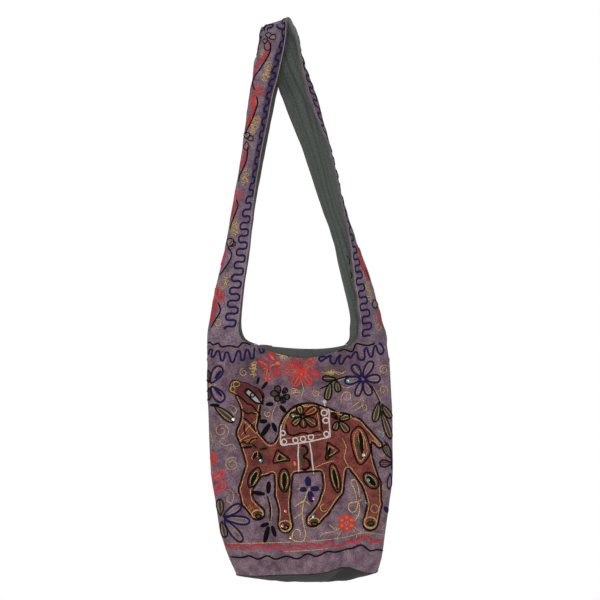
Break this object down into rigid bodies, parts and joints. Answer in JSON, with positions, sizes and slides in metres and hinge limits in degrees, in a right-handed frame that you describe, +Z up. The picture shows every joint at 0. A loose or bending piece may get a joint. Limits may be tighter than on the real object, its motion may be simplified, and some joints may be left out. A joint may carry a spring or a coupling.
{
  "type": "embroidered cloth shoulder bag",
  "caption": "Cloth shoulder bag with an oval base, an open mouth and a wide strap folded along its middle, embroidered all over with flowers and a camel patch.",
  "frame": {"origin": "where the bag hangs: on the strap's lining, under the crown of its loop and in the middle of its width", "axes": "+Z up along the hanging strap, +X to the right of the front with the camel, +Y from the front to the back"},
  "size_m": [0.2972, 0.1101, 0.8982],
  "materials": {
    "embroidered_cloth": "lilac cotton, embroidered with couched and chain stitched thread",
    "base_cloth": "dark grey green plain cotton",
    "lining_cloth": "grey green plain cotton",
    "camel_cloth": "maroon cotton patch, corded round its outline"
  },
  "bodies": {
    "root": {"front_panel": "embroidered_cloth", "back_panel": "embroidered_cloth", "strap": "embroidered_cloth", "base_panel": "base_cloth", "pouch_lining": "lining_cloth", "strap_lining": "lining_cloth", "camel_patch": "camel_cloth"}
  },
  "joints": []
}
